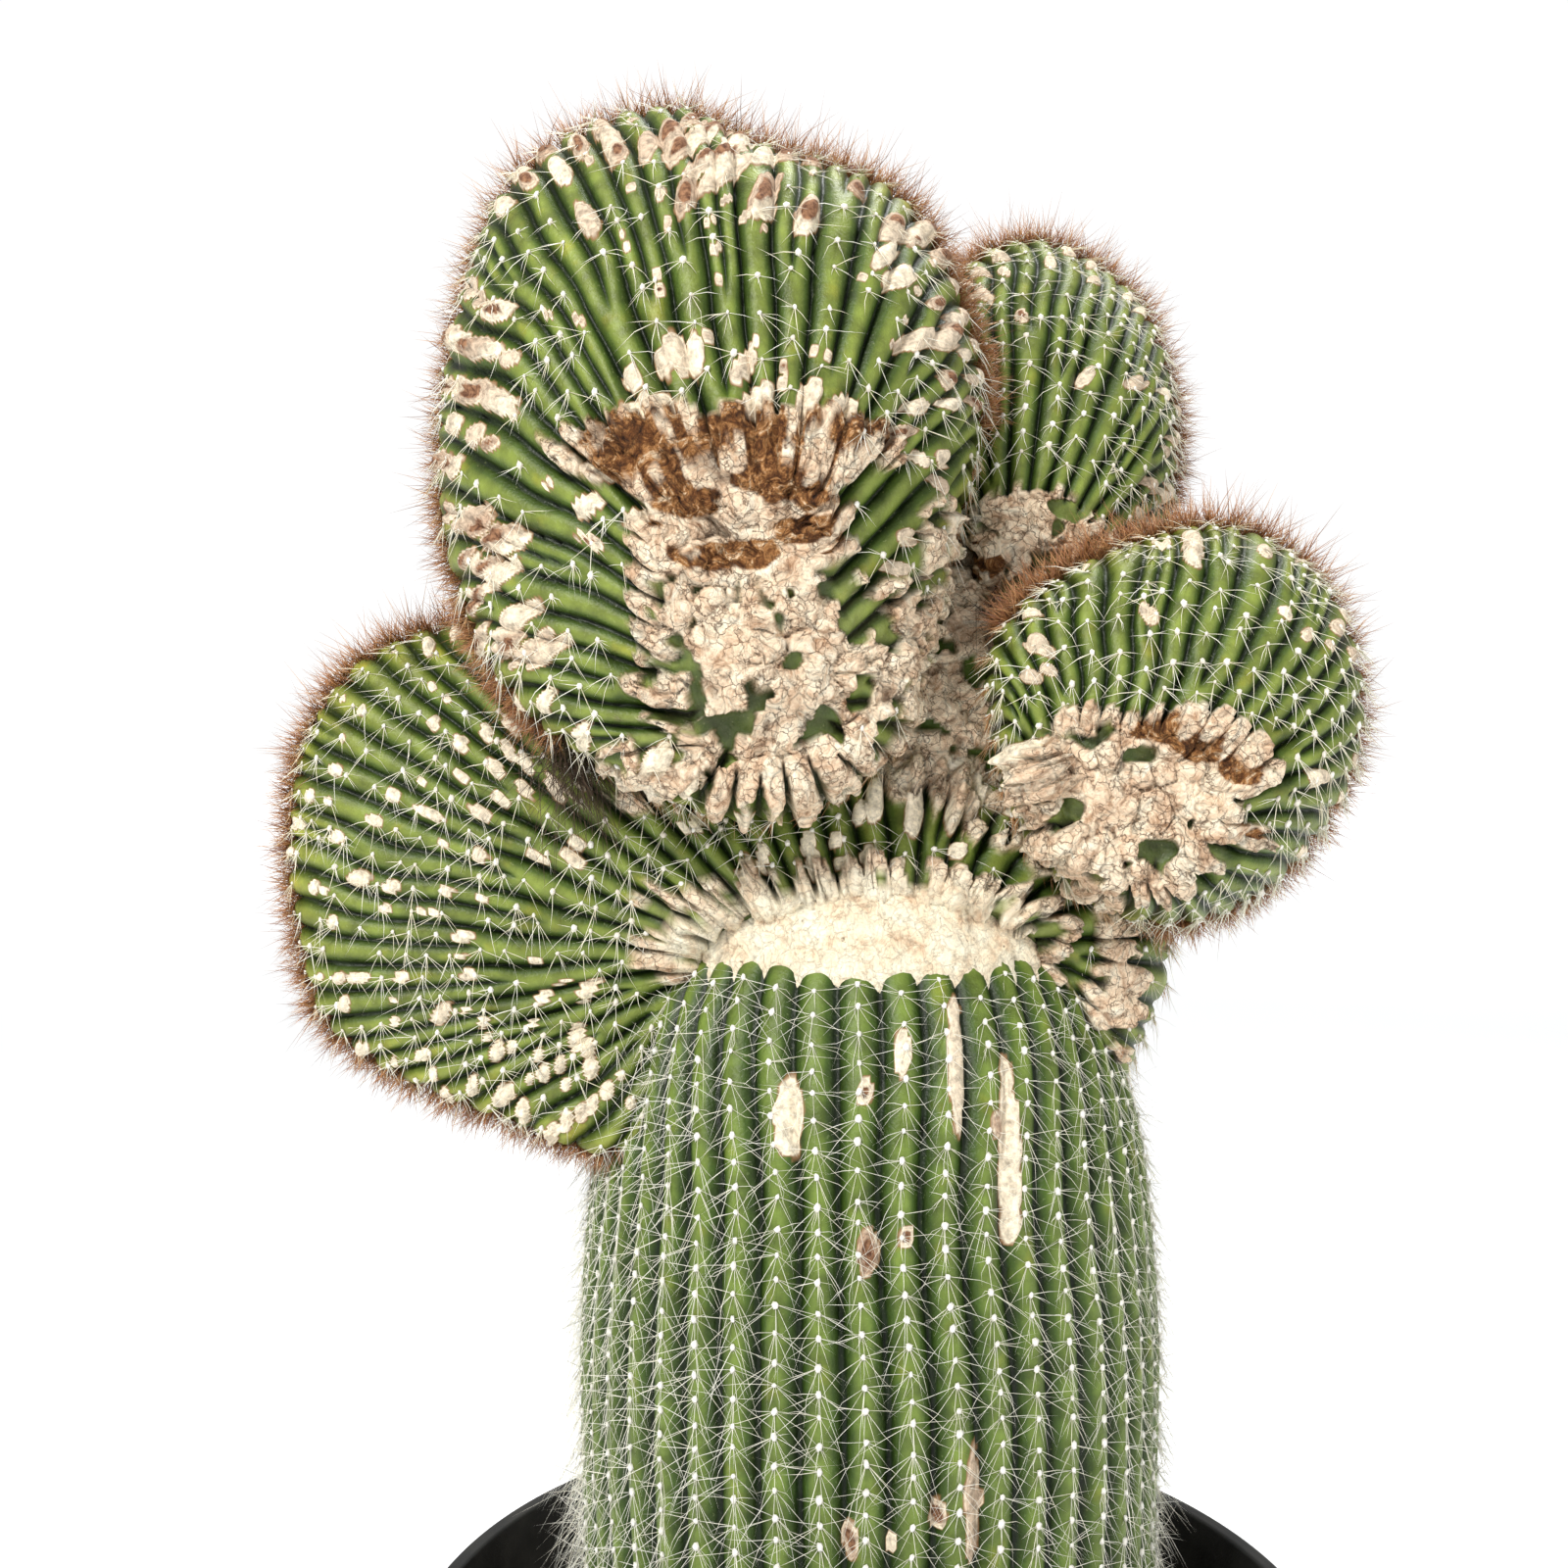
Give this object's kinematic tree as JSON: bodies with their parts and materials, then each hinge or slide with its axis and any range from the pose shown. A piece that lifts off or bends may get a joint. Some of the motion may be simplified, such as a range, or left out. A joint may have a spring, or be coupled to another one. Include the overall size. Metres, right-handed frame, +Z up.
{
  "type": "potted tall cactus",
  "caption": "Tall ribbed columnar cactus topped by a corky crest of fan-shaped ribbed folds, standing in a plain black tapered nursery pot filled with potting mix.",
  "frame": {"origin": "centre of the flat base of the pot, on the surface that it stands on", "axes": "+Z up along the cactus column and the pot's axis; -Y is the front, the side the picture shows; +X to the right seen from the front"},
  "size_m": [0.344, 0.31, 0.7761],
  "materials": {
    "pot_plastic": "moulded black plastic, satin to matte, slightly dusty",
    "potting_mix": "dry gritty bark and peat mix with small stones",
    "cactus_skin": "waxy green ribs with white woolly areoles, pale spines and cream to brown cork"
  },
  "bodies": {
    "root": {"pot": "pot_plastic", "potting_mix": "potting_mix", "cactus": "cactus_skin"}
  },
  "joints": []
}
